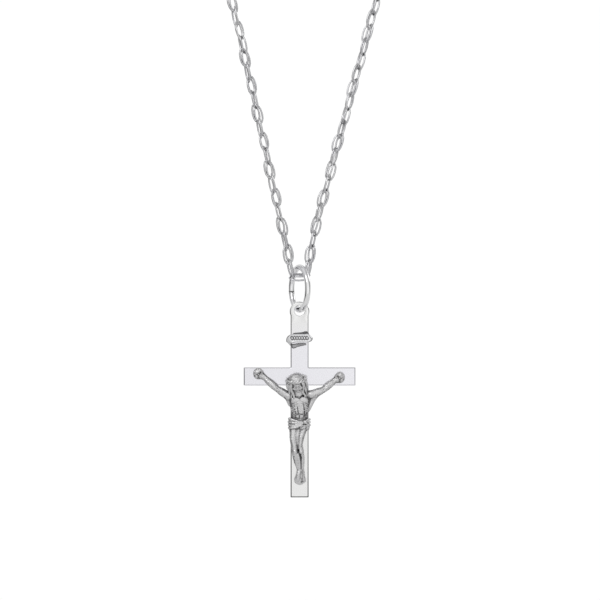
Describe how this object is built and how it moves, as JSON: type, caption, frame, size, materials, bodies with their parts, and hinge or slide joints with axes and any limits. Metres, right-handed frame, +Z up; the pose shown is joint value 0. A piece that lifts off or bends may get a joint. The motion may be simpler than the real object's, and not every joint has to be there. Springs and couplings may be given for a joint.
{
  "type": "crucifix pendant necklace",
  "caption": "Crucifix pendant: a flat polished cross with an antiqued cast figure and a beaded scroll, hung by a round jump ring from a fine double-link chain with a ring clasp.",
  "frame": {"origin": "the point of the nape against which the middle of the clasp rests, where the necklace hangs on the neck", "axes": "+Z up, the front of the pendant faces -Y, +X to the viewer's right"},
  "size_m": [0.0726, 0.0907, 0.1975],
  "materials": {
    "cross": "polished silver",
    "corpus": "antiqued cast silver, matt, darker in the hollows",
    "title_scroll": "antiqued cast silver, matt",
    "jump_ring": "polished silver wire",
    "chain": "polished silver wire",
    "clasp": "polished silver"
  },
  "bodies": {
    "necklace": {"chain": "chain", "clasp": "clasp"},
    "ring": {"jump_ring": "jump_ring"},
    "pendant": {"cross": "cross", "corpus": "corpus", "title_scroll": "title_scroll"}
  },
  "joints": [
    {"name": "ring_swing", "type": "hinge", "parent": "necklace", "child": "ring", "pos_m": [0, -0.086, -0.168], "axis": [0.9239, 0.3827, 0], "range_deg": [-45, 45]},
    {"name": "pendant_sway", "type": "hinge", "parent": "ring", "child": "pendant", "pos_m": [0, -0.086, -0.1721], "axis": [0.3827, -0.9239, 0], "range_deg": [-45, 45]}
  ]
}
